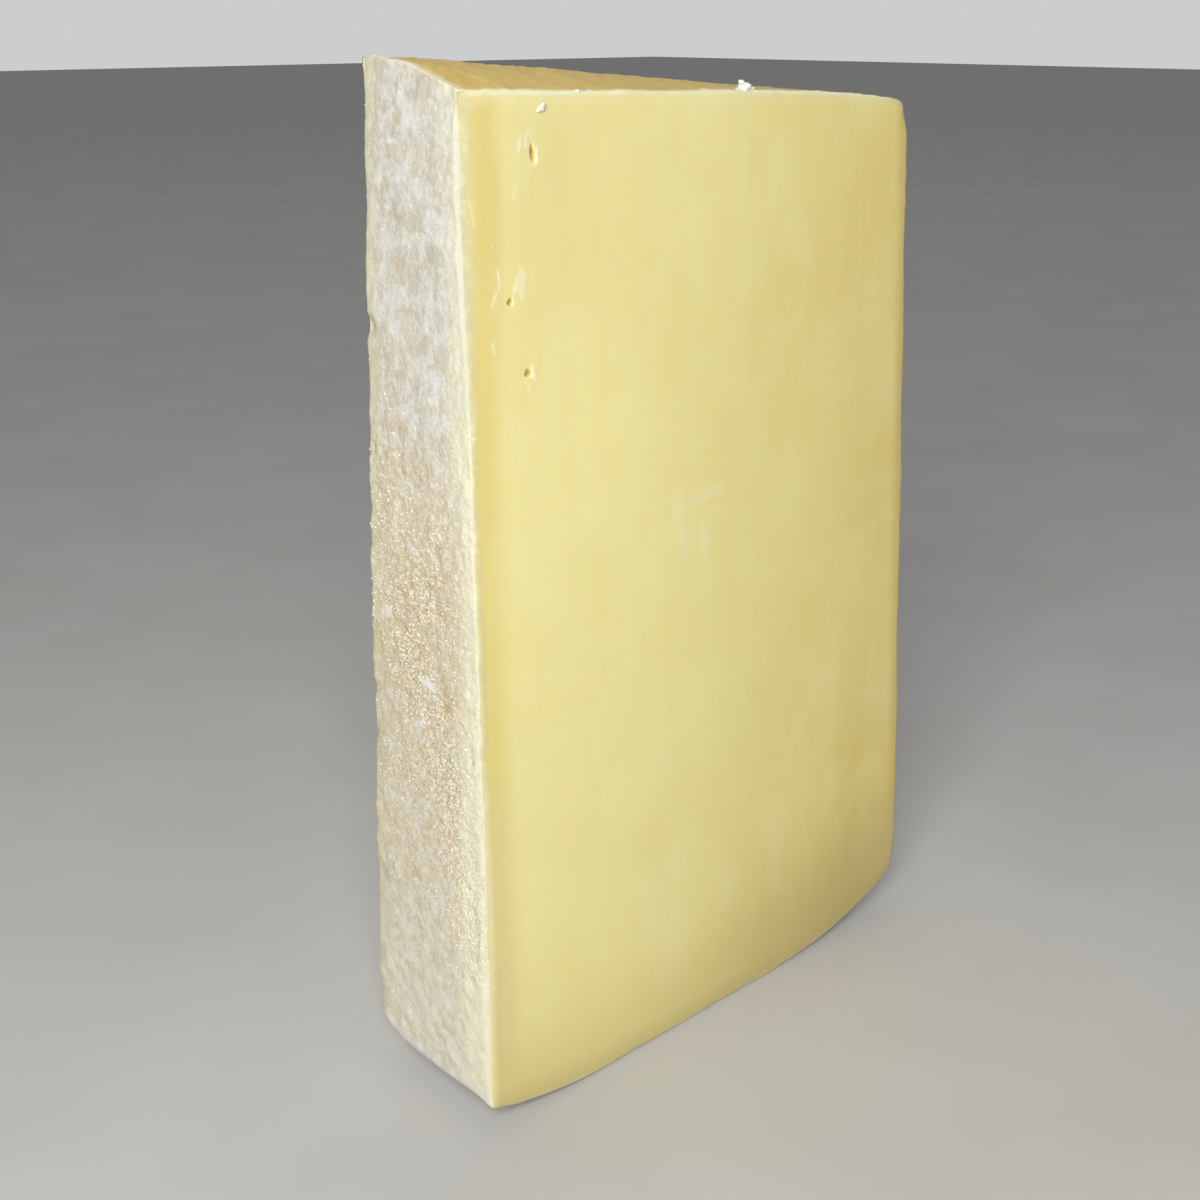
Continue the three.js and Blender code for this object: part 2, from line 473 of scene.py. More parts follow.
chips = sum(
    (side_of_block == side) * depth * (1 - np.clip(np.hypot(y - at, z - height) / radius, 0, 1) ** 2) ** 2
    for side, at, height, radius, depth in rind_chips
)
rind_relief = swell + lumps + fibres + grain + crust_bumps + rims
rind_relief = rind_relief - crust_pits * pits - chips
rind_relief = rind_relief + bloom_height * bloom_patch * (bloom_level + big_grains)

# The cuts' relief: a slow ripple and fine streaks from the wire, a burr along the heel and the top, the
# near edge shaved off, and the scrapes.
cut_ripple = 0.12
wire_streaks = 0.020
cut_mottle = 0.012
burr_height = 0.10
burr_width = 0.6
burr_level = 0.4
bevel_depth = 0.50
bevel_reach = 4.6
bevel_zone = (98, 140)
scrape_height = 0.04
scrape_edge = (1.7, 0.2)
scrape_bend = 0.28
scrape_raggedness = 0.6
facing_cut = 0.9

ripple = cut_ripple * wander(smooth, (14.0, 14.0, 70.0), stream=21)
streaks = wire_streaks * wander(smooth, (1.4, 1.4, 34.0), stream=22)
mottle = cut_mottle * wander(smooth, 1.6, stream=23)
nearest_edge = np.minimum(from_heel, from_top)
burr = burr_height * np.exp(-((nearest_edge / burr_width) ** 2))
burr = burr * (burr_level + wander(smooth, 2.4, stream=24))
bevel = bevel_depth * ease(z, *bevel_zone) * ease(from_left, bevel_reach, 0.0)
faces_out = {"front": -out[:, 1] > facing_cut, "back": out[:, 1] > facing_cut}
bent_x = x + scrape_bend * wander(smooth, 1.1, stream=44)
bent_z = z + scrape_bend * wander(smooth, 1.1, stream=45)
ragged = scrape_raggedness * wander(smooth, 0.5, stream=42)
scraped = np.zeros(len(square))
for face, start, end, half_width, strength in scrapes:
    far = far_from_line(bent_x, bent_z, start, end) / half_width + ragged
    scraped = np.maximum(scraped, strength * ease(far, *scrape_edge) * faces_out[face])
cut_relief = ripple + streaks + mottle + burr - bevel + scrape_height * scraped

# The top's relief: the knife's low ridges, and the scores that slant across them.
top_ridges = 0.22
top_scores = 0.15
score_slant = 0.7

ridges = top_ridges * wander(smooth, (9.0, 5.0, 9.0), stream=31)
scores = top_scores * wander(np.stack([x - score_slant * y, y, z], -1), (0.9, 6.0, 9.0), stream=32)
top_relief = ridges + scores

# The flat spot under the heel stays flat, and the lifted ends of the heel are as lumpy as the sides.
heel_clearance = (0.6, 8)
rind_clearance = (2, 8)
clear = ease(z, *heel_clearance)
points = smooth.copy()
points[:, 0] += out[:, 0] * rind_relief * ease(z, *rind_clearance)
points[:, 1] += out[:, 1] * cut_relief * clear
points[:, 2] += np.maximum(0, out[:, 2]) * top_relief
points[:, 2] += np.maximum(0, -out[:, 2]) * np.abs(rind_relief) * clear

# Each eye is pressed in as a drop, wider below and deepest at its middle, with a pale rim round it.
drop_taper = 0.45
eye_raggedness = 0.16
rim_distance = 1.2
rim_width = 0.22
eye_depth = np.zeros(len(points))
eye_rim = np.zeros(len(points))
for face, at_x, at_z, half_width, depth, half_height, tilt in eyes:
    dx = (x - at_x) * math.cos(tilt) + (z - at_z) * math.sin(tilt)
    dz = (z - at_z) * math.cos(tilt) - (x - at_x) * math.sin(tilt)
    width_here = half_width * (1 - drop_taper * np.clip(dz / half_height, -1, 1))
    far = np.hypot(dx / width_here, dz / half_height) + eye_raggedness * wander(smooth, 0.5, stream=41)
    sunk = np.sqrt(np.clip(1 - far**2, 0, 1)) * faces_out[face]
    points[:, 1] += (1 if face == "front" else -1) * depth * sunk
    eye_depth = np.maximum(eye_depth, sunk)
    eye_rim = np.maximum(eye_rim, np.exp(-(((far - rim_distance) / rim_width) ** 2)) * faces_out[face])

box_mesh.vertices.foreach_set("co", (points * MM).ravel())
box_mesh.update()
measures = {
    "from_left": from_left, "from_right": from_right, "from_heel": from_heel, "from_top": from_top,
    "from_front": from_front, "from_back": from_back, "crust": crust, "pits": pits,
    "bloom_patch": bloom_patch, "golden_patch": golden_patch,
    "scraped": scraped, "eye_depth": eye_depth, "eye_rim": eye_rim,
}
for name, values in measures.items():
    add_measure(block, name, values)


class Value:
    """A shader socket that takes part in arithmetic: each sum or product adds its Math node."""

    def __init__(self, paint, socket):
        self.paint = paint
        self.socket = socket

    def maths(self, operation, *others, clamp=False):
        settings = {"operation": operation, "use_clamp": clamp}
        return self.paint.add("ShaderNodeMath", settings, dict(enumerate((self, *others))))

    def __add__(self, other):
        return self.maths("ADD", other)

    def __mul__(self, other):
        return self.maths("MULTIPLY", other)

    def __sub__(self, other):
        return self.maths("SUBTRACT", other)

    def __rsub__(self, other):
        return self * -1 + other

    __radd__ = __add__
    __rmul__ = __mul__

    def held(self):
        """The value kept between 0 and 1."""
        return self.maths("ADD", 0.0, clamp=True)

    def over(self, start, end):
        """0 at start and 1 at end, whichever is larger, eased between."""
        low, high = min(start, end), max(start, end)
        turned = (0.0, 1.0) if start < end else (1.0, 0.0)
        sockets = dict(enumerate((self, low, high, *turned)))
        return self.paint.add("ShaderNodeMapRange", {"interpolation_type": "SMOOTHSTEP"}, sockets)


class Paint:
    """A material, and the short ways of adding nodes to it."""

    def __init__(self, name):
        self.material = bpy.data.materials.new(name)
        self.material.use_nodes = True
        self.tree = self.material.node_tree
        self.tree.nodes.clear()

    def add(self, kind, settings, sockets, output=0):
        """Adds a node, sets it up, fills its sockets and gives one of its outputs back."""
        node = self.tree.nodes.new(kind)
        for key, value in settings.items():
            setattr(node, key, value)
        for key, value in sockets.items():
            if isinstance(value, Value):
                self.tree.links.new(value.socket, node.inputs[key])
            else:
                node.inputs[key].default_value = value
        return Value(self, node.outputs[output]) if len(node.outputs) else None

    def measure(self, name):
        return self.add("ShaderNodeAttribute", {"attribute_name": name}, {}, "Fac")

    def place(self, stretch=(1, 1, 1), turn=(0, 0, 0)):
        """The piece's own coordinates in millimetres, stretched and turned."""
        own = self.add("ShaderNodeTexCoord", {}, {}, "Object")
        scale = tuple(share / MM for share in stretch)
        return self.add("ShaderNodeMapping", {}, {"Vector": own, "Scale": scale, "Rotation": turn})

    def part(self, place, axis):
        return self.add("ShaderNodeSeparateXYZ", {}, {0: place}, axis)

    def noise(self, place, scale, detail=2.0, roughness=0.5):
        sockets = {"Vector": place, "Scale": scale, "Detail": detail, "Roughness": roughness}
        return self.add("ShaderNodeTexNoise", {}, sockets)

    def mixed(self, share, first, second):
        """Goes from the first colour to the second."""
        colours = [(*c, 1.0) if isinstance(c, tuple) else c for c in (first, second)]
        return self.add("ShaderNodeMix", {"data_type": "RGBA"}, {0: share, 6: colours[0], 7: colours[1]}, 2)

    def layered(self, colour, *layers):
        """Lays colours over one another: where each shows, how much of it, and which colour."""
        for where, cover, over in layers:
            colour = self.mixed(where * cover, colour, over)
        return colour

    def bumped(self, height, strength, distance):
        sockets = {"Height": height, "Strength": strength, "Distance": distance * MM}
        return self.add("ShaderNodeBump", {}, sockets)

    def finish(self, colour, roughness, normal, **constants):
        """Puts the shader on: links for what varies, plain numbers for the rest."""
        sockets = {"Base Color": colour, "Roughness": roughness, "Normal": normal}
        sockets.update({name.replace("_", " "): value for name, value in constants.items()})
        shader = self.add("ShaderNodeBsdfPrincipled", {}, sockets)
        self.add("ShaderNodeOutputMaterial", {}, {"Surface": shader})
        return self.material


def srgb(red, green, blue):
    """A colour read off a picture, 0 to 255, as light values, by the standard sRGB curve."""
    return tuple(((c / 255 + 0.055) / 1.055) ** 2.4 if c > 10 else c / 3295 for c in (red, green, blue))


def paste_colour(paint, here):
    """Cut cheese: butter yellow, deeper and more orange under the rind, and dried out along the rims, which
    are pale partly as painted highlight.
    """
    butter = srgb(243, 232, 163)
    warm_butter = srgb(239, 222, 148)
    shaded_riper_butter = srgb(230, 209, 126)
    upper_left_shade_yellow = srgb(228, 215, 148)
    under_rind = srgb(230, 214, 134)
    low_band = srgb(228, 211, 148)
    deep_yellow_and_groove_shade = srgb(212, 195, 121)
    rind_section = srgb(202, 195, 156)
    low_section = srgb(216, 204, 158)
    inner_section = srgb(217, 206, 151)
    pale_flakes = srgb(226, 220, 184)
    scuffed = srgb(246, 236, 182)
    right_edge = srgb(212, 184, 108)
    heel_tint_and_painted_shade = srgb(222, 206, 138)
    painted_far_heel_shade = srgb(194, 173, 110)
    painted_heel_shade = srgb(192, 176, 122)
    heel_edge = srgb(216, 210, 170)
    dry_rim_and_highlight = srgb(240, 236, 206)

    # Where each change starts and where it is full: along the block, up it, or in from one of its edges.
    shade_across = (-30, 48)
    shade_down = (60, 0)
    upper_left_across = (5, -30)
    upper_left_heights = (100, 142)
    band_reach = (7.5, 2.0)
    low_band_heights = (62, 42)
    deep_reach = (7.2, 2.8)
    deep_heights = (98, 138)
    section_edge = (1.6, -0.6)
    section_heights = (98, 140)
    section_foot = (60, 10)
    inner_reach = (0.5, 1.7)
    inner_below_top = (6.0, 1.0)
    low_section_heights = (50, 25)
    streak_middle = 5.0
    streak_reach = (3.0, 0.0)
    streak_heights = (104, 124)
    right_reach = (3.6, 0.8)
    heel_reach = (20.0, 0.0)
    far_heel_heights = (34, 4)
    far_heel_across = (-22, 38)
    heel_shade_reach = (5.0, 0.5)
    heel_edge_reach = (1.0, 0.3)
    dry_reach = (2.6, 0.4)
    pale_rim_reach = (0.8, 0.2)

    across_block = paint.part(here, "X")
    height = paint.part(here, "Z")
    patches = paint.noise(here, scale=0.05).over(0.38, 0.64)
    # Painted shade: the paste is coloured darker towards the right and the bottom, with random patches of
    # riper paste besides.
    lower_right_shade_and_patches = across_block.over(*shade_across) * 0.75 + height.over(*shade_down) * 0.25 + patches * 0.2 - 0.1
    tall_grain = paint.place(stretch=(0.30, 0.30, 0.012))
    streaky = paint.noise(tall_grain, scale=1.0, detail=3.0).over(0.38, 0.72)
    # Painted shade: a duller yellow over the upper left of the cut, where the window light is strongest.
    upper_left_shade = height.over(*upper_left_heights) * across_block.over(*upper_left_across)
    flattened = paint.place(stretch=(1, 1, 0.6))
    light_patches = paint.noise(flattened, scale=0.12, detail=3.0, roughness=0.6).over(0.42, 0.70)
    colour = paint.layered(
        paint.mixed(lower_right_shade_and_patches.held(), butter, shaded_riper_butter),
        (streaky, 0.3, warm_butter),
        (upper_left_shade, 0.6, upper_left_shade_yellow),
        (light_patches, 0.28, scuffed),
    )

    # The deeper yellow band under the left rind, darkened further towards the top by painted shade of the
    # bevel's groove, and the rind's own thickness, which the cut shows.
    wobble = paint.noise(here, scale=0.35, detail=3.0) - 0.5
    from_left = paint.measure("from_left") + wobble * 0.9
    from_right = paint.measure("from_right") + wobble * 0.8
    band = from_left.over(*band_reach) * (0.8 + patches * 0.2)
    band_colour = paint.mixed(height.over(*low_band_heights), under_rind, low_band)
    deep_band_and_groove_shade = from_left.over(*deep_reach) * height.over(*deep_heights) * (0.7 + streaky * 0.3)
    section_width = height.over(*section_heights) * 1.0 + height.over(*section_foot) * 0.35 + 0.5
    section = (from_left - section_width).over(*section_edge)
    inner = (from_left.over(*inner_reach) + paint.measure("from_top").over(*inner_below_top)).held()
    section_colour = paint.mixed(height.over(*low_section_heights), rind_section, low_section)
    flaky = paint.noise(here, scale=0.8, detail=3.0, roughness=0.65).over(0.50, 0.62)
    pale_streak = (across_block - streak_middle).maths("ABSOLUTE").over(*streak_reach)
    colour = paint.layered(paint.mixed(band.held(), colour, band_colour), (deep_band_and_groove_shade, 0.95, deep_yellow_and_groove_shade))
    colour = paint.layered(
        paint.mixed(section, colour, paint.layered(section_colour, (inner, 0.8, inner_section))),
        (flaky * section, 0.4, pale_flakes),
        (pale_streak * height.over(*streak_heights), 0.25, scuffed),
        (from_right.over(*right_reach), 0.6, right_edge),
    )

    # The heel's rind tints the cut above it, and painted shade darkens the cut further towards the heel and
    # most at its lower right; the rims dry out pale, partly as painted highlight.
    from_heel = paint.measure("from_heel") + wobble * 1.0
    from_top = paint.measure("from_top") + wobble * 0.5
    far_heel = height.over(*far_heel_heights) * across_block.over(*far_heel_across)
    return paint.layered(
        colour,
        (from_heel.over(*heel_reach), 0.9, heel_tint_and_painted_shade),
        (far_heel, 0.65, painted_far_heel_shade),
        (from_heel.over(*heel_shade_reach), 0.45, painted_heel_shade),
        (from_heel.over(*heel_edge_reach), 0.7, heel_edge),
        (from_top.over(*dry_reach), 0.2, dry_rim_and_highlight),
        # Partly painted highlight: a thin broken pale line along the top edge, besides the dried paste.
        (from_top.over(*pale_rim_reach) * wobble.over(-0.15, 0.12), 0.85, dry_rim_and_highlight),
    )


def finish_paste():
    scraped_pale = srgb(250, 244, 214)
    eye_wall_shade = srgb(218, 188, 92)
    eye_bottom_shade = srgb(190, 142, 48)
    near_edge_reach = (2.6, 0.6)

    paint = Paint("cut_paste")
    here = paint.place()
    depth = paint.measure("eye_depth")
    scraped = (paint.measure("scraped") + paint.measure("eye_rim") * 0.4).held()
    colour = paint.layered(
        paste_colour(paint, here),
        (scraped, 0.8, scraped_pale),
        # Painted shade inside the eyes: a deeper yellow on their walls, darkening to orange where they are
        # deepest.
        (depth.over(0.1, 0.6), 0.9, eye_wall_shade),
        (depth.over(0.6, 1.0), 0.6, eye_bottom_shade),
    )
    fine = paint.noise(here, scale=1.8, roughness=0.6)
    drag = paint.noise(paint.place(stretch=(1.0, 1.0, 0.03)), scale=1.2)
    near_edge = paint.measure("from_left").over(*near_edge_reach)
    normal = paint.bumped(fine * (near_edge * 3.0 + 0.5) + drag, strength=0.35, distance=0.05)
    roughness = fine * 0.2 + 0.40
    return paint.finish(colour, roughness, normal, Subsurface_Weight=0.35, Subsurface_Scale=0.003,
                        Subsurface_Radius=(1.0, 0.75, 0.30), Specular_IOR_Level=0.35)


def finish_top():
    """The top cut: more dried out than the others and scored, darker partly from drying and partly as
    painted shade, with pale rims that are partly painted highlight.
    """
    dry_shaded_yellow = srgb(213, 180, 86)
    paler_dry_shaded_yellow = srgb(222, 195, 108)
    scored = srgb(196, 160, 96)
    pale_rim_and_highlight = srgb(246, 240, 204)
    near_rind_cream = srgb(234, 226, 190)
    front_rim_reach = (1.1, 0.2)
    back_rim_reach = (0.9, 0.1)
    rind_reach = (2.2, 0.5)

    paint = Paint("dry_shaded_top_cut")
    here = paint.place()
    patches = paint.noise(here, scale=0.30, detail=4.0, roughness=0.6).over(0.35, 0.68)
    along_scores = paint.place(stretch=(1.0, 0.12, 0.4), turn=(0, 0, 0.5))
    scores = paint.noise(along_scores, scale=1.1, detail=4.0).over(0.38, 0.72)
    wobble = paint.noise(here, scale=0.8, detail=3.0) * 0.8 - 0.4
    front_rim = (paint.measure("from_front") + wobble).over(*front_rim_reach)
    back_rim = (paint.measure("from_back") + wobble).over(*back_rim_reach)
    near_rind = paint.measure("from_left") + wobble * 2.0
    colour = paint.layered(
        # Partly painted shade: the top's yellows are darker than the other cuts', besides being dried out.
        paint.mixed(patches, dry_shaded_yellow, paler_dry_shaded_yellow),
        (scores, 0.4, scored),
        # Partly painted highlight: the pale rims along the top's front and back edges.
        ((front_rim + back_rim).held(), 0.8, pale_rim_and_highlight),
        (near_rind.over(*rind_reach), 0.8, near_rind_cream),
    )
    drawn_out = paint.place(stretch=(1.0, 0.25, 1.0))
    crumbly = paint.noise(drawn_out, scale=1.3, detail=5.0, roughness=0.65)
    normal = paint.bumped(crumbly, strength=0.6, distance=0.15)
    roughness = patches * 0.15 + 0.5
    return paint.finish(colour, roughness, normal, Subsurface_Weight=0.2, Subsurface_Scale=0.002,
                        Subsurface_Radius=(1.0, 0.6, 0.2), Specular_IOR_Level=0.35)


def finish_rind():
    """The rind: grey above, tan in the middle and creamy below, with fibres, bloom, crust and worn edges."""
    greyish = srgb(199, 195, 180)
    tan = srgb(215, 205, 178)
    creamy = srgb(224, 216, 193)
    shade = srgb(182, 168, 142)
    golden = srgb(196, 168, 118)
    bloom = srgb(228, 228, 222)
    frosted = srgb(228, 229, 228)
    bare = srgb(196, 184, 160)
    grain_top = srgb(238, 235, 220)
    white_bloom = srgb(234, 234, 228)
    golden_stain = srgb(202, 168, 104)
    back_strip = srgb(202, 194, 160)
    cream = srgb(236, 231, 201)
    worn_cream = srgb(209, 206, 184)
    low_cream = srgb(221, 215, 185)

    # Where each change starts and where it is full: up the block, or in from one of its edges.
    tan_heights = (125, 88)
    creamy_heights = (40, 10)
    low_heights = (70, 45)
    frost_heights = (85, 110)
    grainy_foot = (30, 50)
    grainy_fade = (115, 90)
    stain_heights = (90, 55)
    thread_foot = (60, 68)
    thread_fade = (90, 84)
    less_cream_heights = (115, 145)
    high_heights = (98, 118)
    high_below_top = (0.5, 6.0)
    back_reach = (4.0, 1.0)
    front_reach = (6.0, 1.5)
    worn_reach = (1.3, 0.3)
    heel_reach = (4.0, 0.5)

    paint = Paint("washed_rind")
    here = paint.place()
    slanted = paint.place(stretch=(1.0, 1.1, 0.7), turn=(0.6, 0, 0))
    drift = paint.noise(here, scale=0.08) - 0.5
    true_height = paint.part(here, "Z")
    height = true_height + drift * 40
    low = height.over(*low_heights)
    fibrous = paint.noise(slanted, scale=1.1, detail=4.0, roughness=0.7).over(0.38, 0.62)
    spots = paint.noise(here, scale=0.70, detail=3.0, roughness=0.55)
    mottled = fibrous * (1 - low) + spots.over(0.54, 0.38) * low
    haze = paint.noise(here, scale=0.40, detail=3.0, roughness=0.7).over(0.46, 0.64)
    flecks = paint.noise(slanted, scale=1.6, roughness=0.7).over(0.52, 0.66)
    frost = paint.noise(here, scale=0.22, detail=3.0, roughness=0.6)
    frosty = height.over(*frost_heights)
    colour = paint.mixed(height.over(*tan_heights), greyish, tan)
    colour = paint.layered(
        paint.mixed(height.over(*creamy_heights), colour, creamy),
        (mottled, 0.36, shade),
        (spots.over(0.50, 0.66), 0.35, creamy),
        (haze, 0.5, bloom),
        (flecks, 0.45, bloom),
        (frost.over(0.48, 0.60) * frosty, 0.35, frosted),
        (frost.over(0.44, 0.34) * frosty, 0.5, bare),
    )

    # The crust's grains are pale on top, and the gaps between them are golden, partly the rind's colour and
    # partly painted shade.
    crust = paint.measure("crust")
    gaps = paint.add("ShaderNodeTexVoronoi", {"feature": "F1"}, {"Vector": here, "Scale": 1.9}, "Distance")
    grainy = height.over(*grainy_foot) * height.over(*grainy_fade) * 0.15
    golden_gaps_and_shade = gaps.over(0.38, 0.68) * (crust * 0.28 + grainy + 0.08)
    pale_tops = gaps.over(0.34, 0.12) * (crust * 0.7 + grainy + 0.12)
    stains = crust * spots.over(0.50, 0.36) * height.over(*stain_heights)

    # Faint marks of the cloth's threads, as waves per millimetre times two pi.
    weft_waves = 10.1
    warp_waves = 6.3
    weft = ((true_height + drift * 2.0) * weft_waves).maths("SINE")
    warp = ((paint.part(here, "Y") + drift * 2.0) * warp_waves).maths("SINE")
    cloth = true_height.over(*thread_foot) * true_height.over(*thread_fade)
    threads = (weft.over(0.2, 1.0) + warp.over(0.3, 1.0) * 0.6) * cloth
    colour = paint.mixed(golden_gaps_and_shade, colour, golden)
    colour = paint.layered(
        paint.mixed(pale_tops, colour, grain_top),
        (stains, 0.2, golden),
        (paint.measure("pits").over(0.1, 0.9), 0.4, golden),
        (threads, 0.32, golden),
        (paint.measure("bloom_patch"), 0.85, white_bloom),
        (paint.measure("golden_patch"), 0.75, golden_stain),
    )

    # The rind is creamy towards the front cut, and worn down to bare cream along the near edge.
    wobble = spots - 0.5
    back_edge = (paint.measure("from_back") + wobble * 2.0).over(*back_reach)
    front_edge = paint.measure("from_front") + wobble * 3.0 - low * 2.5
    creaminess = 0.9 - mottled * 0.25 - height.over(*less_cream_heights) * 0.4
    high = height.over(*high_heights) * paint.measure("from_top").over(*high_below_top)
    worn = (paint.measure("from_front") + wobble * 0.6 - high * 0.5).over(*worn_reach)
    # Painted highlight: a pale strip in the bloom's colour along the rind's lower edge, where its rounding
    # into the heel catches the light.
    low_edge_highlight = (paint.measure("from_heel") + wobble * 2.0).over(*heel_reach)
    colour = paint.layered(colour, (back_edge, 0.6, back_strip))
    colour = paint.layered(
        paint.mixed(front_edge.over(*front_reach) * creaminess, colour, cream),
        (worn, 0.9, paint.mixed(high, low_cream, worn_cream)),
        (low_edge_highlight, 0.4, bloom),
    )

    lumps = paint.noise(slanted, scale=1.0, roughness=0.6) * 0.8 + gaps * crust * -1.0
    fine = paint.noise(here, scale=3.0, detail=3.0, roughness=0.7) * 0.6
    normal = paint.bumped(lumps + fine, strength=0.8, distance=0.25)
    roughness = mottled * 0.12 + 0.62
    return paint.finish(colour, roughness, normal, Subsurface_Weight=0.12, Subsurface_Scale=0.0015,
                        Subsurface_Radius=(1.0, 0.8, 0.5), Specular_IOR_Level=0.3)


for material in (finish_rind(), finish_paste(), finish_top()):
    box_mesh.materials.append(material)
rind_slot, paste_slot, top_slot = 0, 1, 2
faces_a_cut = abs(flat_sides[:, 1]) > 0.5
faces_up = flat_sides[:, 2] > 0.5
face_slots = np.where(faces_a_cut, paste_slot, rind_slot)
face_slots = np.where(faces_up, top_slot, face_slots)
box_mesh.polygons.foreach_set("material_index", face_slots.astype(np.int32))

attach(block, "root")
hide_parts("cheese_wedge")

# ---- Grains on the rind ----
# Small hard grains of dried salt and smear that stand on the rind, thickest where the crust is rough and
# thin elsewhere. Each is a little cut stone, grown halfway into the rind.

# How far a grain may be flattened or drawn out, as shares of its size.
flattest = 0.6
longest = 1.35


def scatter_tree(name):
    """Grains scattered over a surface by the share that is given for each place."""
    tree = bpy.data.node_groups.new(name, "GeometryNodeTree")
    inputs = {
        "Surface": "NodeSocketGeometry",
        "Share": "NodeSocketFloat",
        "Grains per square metre": "NodeSocketFloat",
        "Smallest": "NodeSocketFloat",
        "Largest": "NodeSocketFloat",
        "Seed": "NodeSocketInt",
        "Finish": "NodeSocketMaterial",
    }
    for socket, kind in inputs.items():
        tree.interface.new_socket(socket, in_out="INPUT", socket_type=kind)
    tree.interface.new_socket("Grains", in_out="OUTPUT", socket_type="NodeSocketGeometry")

    def add(kind, settings, sockets):
        node = tree.nodes.new(kind)
        for key, value in settings.items():
            setattr(node, key, value)
        for key, value in sockets.items():
            if isinstance(value, bpy.types.NodeSocket):
                tree.links.new(value, node.inputs[key])
            else:
                node.inputs[key].default_value = value
        return node.outputs

    given = add("NodeGroupInput", {}, {})
    density = add("ShaderNodeMath", {"operation": "MULTIPLY"},
                  {0: given["Share"], 1: given["Grains per square metre"]})
    spots = add("GeometryNodeDistributePointsOnFaces", {},
                {"Mesh": given["Surface"], "Density": density[0], "Seed": given["Seed"]})
    stone = add("GeometryNodeMeshIcoSphere", {}, {"Radius": 1.0, "Subdivisions": 1})
    turn = add("FunctionNodeRandomValue", {"data_type": "FLOAT_VECTOR"},
               {"Max": (2 * math.pi,) * 3, "Seed": given["Seed"]})
    size = add("FunctionNodeRandomValue", {"data_type": "FLOAT"},
               {2: given["Smallest"], 3: given["Largest"], "Seed": given["Seed"]})
    shape = add("FunctionNodeRandomValue", {"data_type": "FLOAT_VECTOR"},
                {"Min": (flattest,) * 3, "Max": (longest,) * 3, "Seed": given["Seed"]})
    scale = add("ShaderNodeVectorMath", {"operation": "SCALE"}, {0: shape["Value"], "Scale": size[1]})
    stones = add("GeometryNodeInstanceOnPoints", {},
                 {"Points": spots["Points"], "Instance": stone["Mesh"],
                  "Rotation": turn["Value"], "Scale": scale[0]})
    shade = add("FunctionNodeRandomValue", {"data_type": "FLOAT"}, {2: 0.0, 3: 1.0, "Seed": given["Seed"]})
    toned = add("GeometryNodeStoreNamedAttribute", {"data_type": "FLOAT", "domain": "INSTANCE"},
                {"Geometry": stones[0], "Name": "tone", "Value": shade[1]})
    real = add("GeometryNodeRealizeInstances", {}, {"Geometry": toned[0]})
    done = add("GeometryNodeSetMaterial", {}, {"Geometry": real[0], "Material": given["Finish"]})
    add("NodeGroupOutput", {}, {"Grains": done[0]})
    return tree


def rind_ground(name, share):
    """The rind's own faces, for the grains to stand on, with how thickly they stand at each corner."""
    corners = read(box_mesh.loops, "vertex_index", kind=np.int32)
    starts = read(box_mesh.polygons, "loop_start", kind=np.int32)
    totals = read(box_mesh.polygons, "loop_total", kind=np.int32)
    on_rind = abs(flat_sides[:, 0]) > 0.5
    faces = [corners[start:start + n].tolist() for start, n in zip(starts[on_rind], totals[on_rind])]
    ground = bpy.data.meshes.new(name)
    ground.from_pydata((points * MM).tolist(), [], faces)
    carrier = new_object(name, ground)
    add_measure(carrier, "share", share)
    return carrier


def scattered(name, share, given):
    """Runs the tree over the rind and keeps what it makes as a plain mesh."""
    carrier = rind_ground(name + "_ground", share)
    grow = carrier.modifiers.new("grains", "NODES")
    grow.node_group = scatter_tree(name)
    sockets = grow.node_group.interface.items_tree
    ids = {item.name: item.identifier for item in sockets if item.in_out == "INPUT"}
    for key, value in given.items():
        grow[ids[key]] = value
    grow[ids["Share"] + "_use_attribute"] = True
    grow[ids["Share"] + "_attribute_name"] = "share"
    evaluated = carrier.evaluated_get(bpy.context.evaluated_depsgraph_get())
    mesh = bpy.data.meshes.new_from_object(evaluated)
    mesh.name = name
    bpy.data.objects.remove(carrier)
    return new_object(name, mesh)


def finish_grains(name, white, golden, golden_share):
    """Each grain is white or golden by its tone, with a soft step between the two."""
    smeared = srgb(226, 214, 184)
    tone_softness = 0.3
    paint = Paint(name)
    tone = paint.measure("tone")
    here = paint.place()
    whiteness = tone.over(golden_share - tone_softness, golden_share + tone_softness)
    smears = paint.noise(here, scale=2.0, detail=3.0).over(0.4, 0.7)
    colour = paint.layered(paint.mixed(whiteness, golden, white), (smears, 0.3, smeared))
    normal = paint.bumped(paint.noise(here, scale=5.0), strength=0.3, distance=0.04)
    roughness = tone * 0.3 + 0.45
    return paint.finish(colour, roughness, normal, Specular_IOR_Level=0.3)


# How thickly the grains stand: on the crust, less above it, and in the bloom patches below the top third.
crust_power = 1.5
grain_patches = (-0.8, 0.2)
share_above = 0.25
above_zone = (100, 84)
bloom_grain_share = 0.6
bloom_grain_zone = (110, 90)
on_crust = crust**crust_power * ease(wander(smooth, 2.2, stream=52), *grain_patches)
on_crust = on_crust * (share_above + (1 - share_above) * ease(z, *above_zone))
in_patches = bloom_grain_share * bloom_patch * ease(z, *bloom_grain_zone)
on_crust = np.maximum(on_crust, in_patches) * clear

# The specks stand everywhere in loose drifts, and thinly on the crust.
least_specks = 0.15
speck_drifts = (-0.2, 0.7)
lost_on_crust = 0.5
in_bloom = least_specks + (1 - least_specks) * ease(wander(smooth, 4.0, stream=51), *speck_drifts)
in_bloom = in_bloom * (1 - lost_on_crust * crust) * clear

